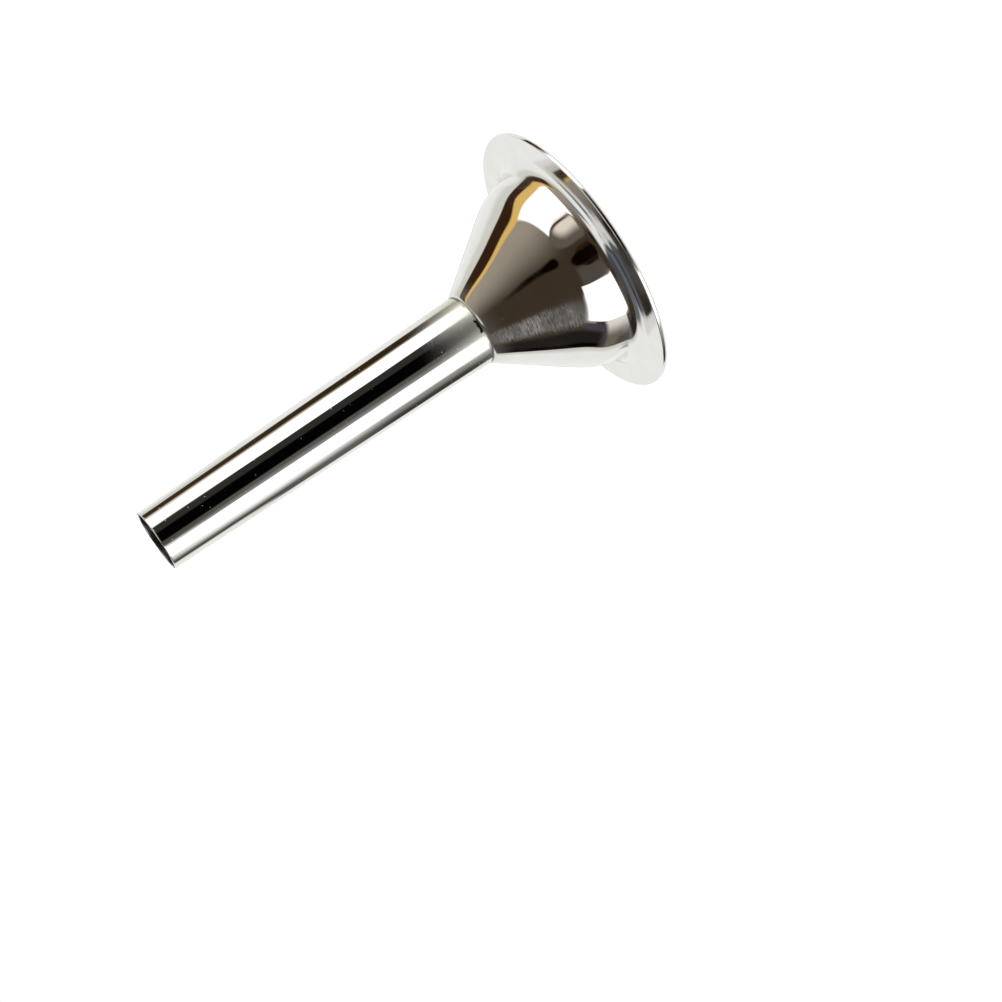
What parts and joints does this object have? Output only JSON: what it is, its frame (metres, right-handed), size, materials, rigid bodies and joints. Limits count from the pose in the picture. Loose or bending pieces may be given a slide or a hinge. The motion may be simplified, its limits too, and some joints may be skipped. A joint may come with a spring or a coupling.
{
  "type": "sausage stuffing tube",
  "caption": "Polished steel sausage stuffing funnel: a flat-flanged spun bell that narrows through a cone into a long tapered outlet tube, open right through.",
  "frame": {"origin": "centre of the flange's face, at the mouth, on the surface that it stands on", "axes": "+Z along the axis from the mouth to the outlet; X and Y are free, because the object is round"},
  "size_m": [0.0924, 0.0924, 0.1586],
  "materials": {
    "bell_steel": "mirror-polished stainless sheet with faint turning and buffing marks",
    "tube_steel": "mirror-polished stainless tube"
  },
  "bodies": {
    "root": {"funnel_bell": "bell_steel", "outlet_tube": "tube_steel"}
  },
  "joints": []
}
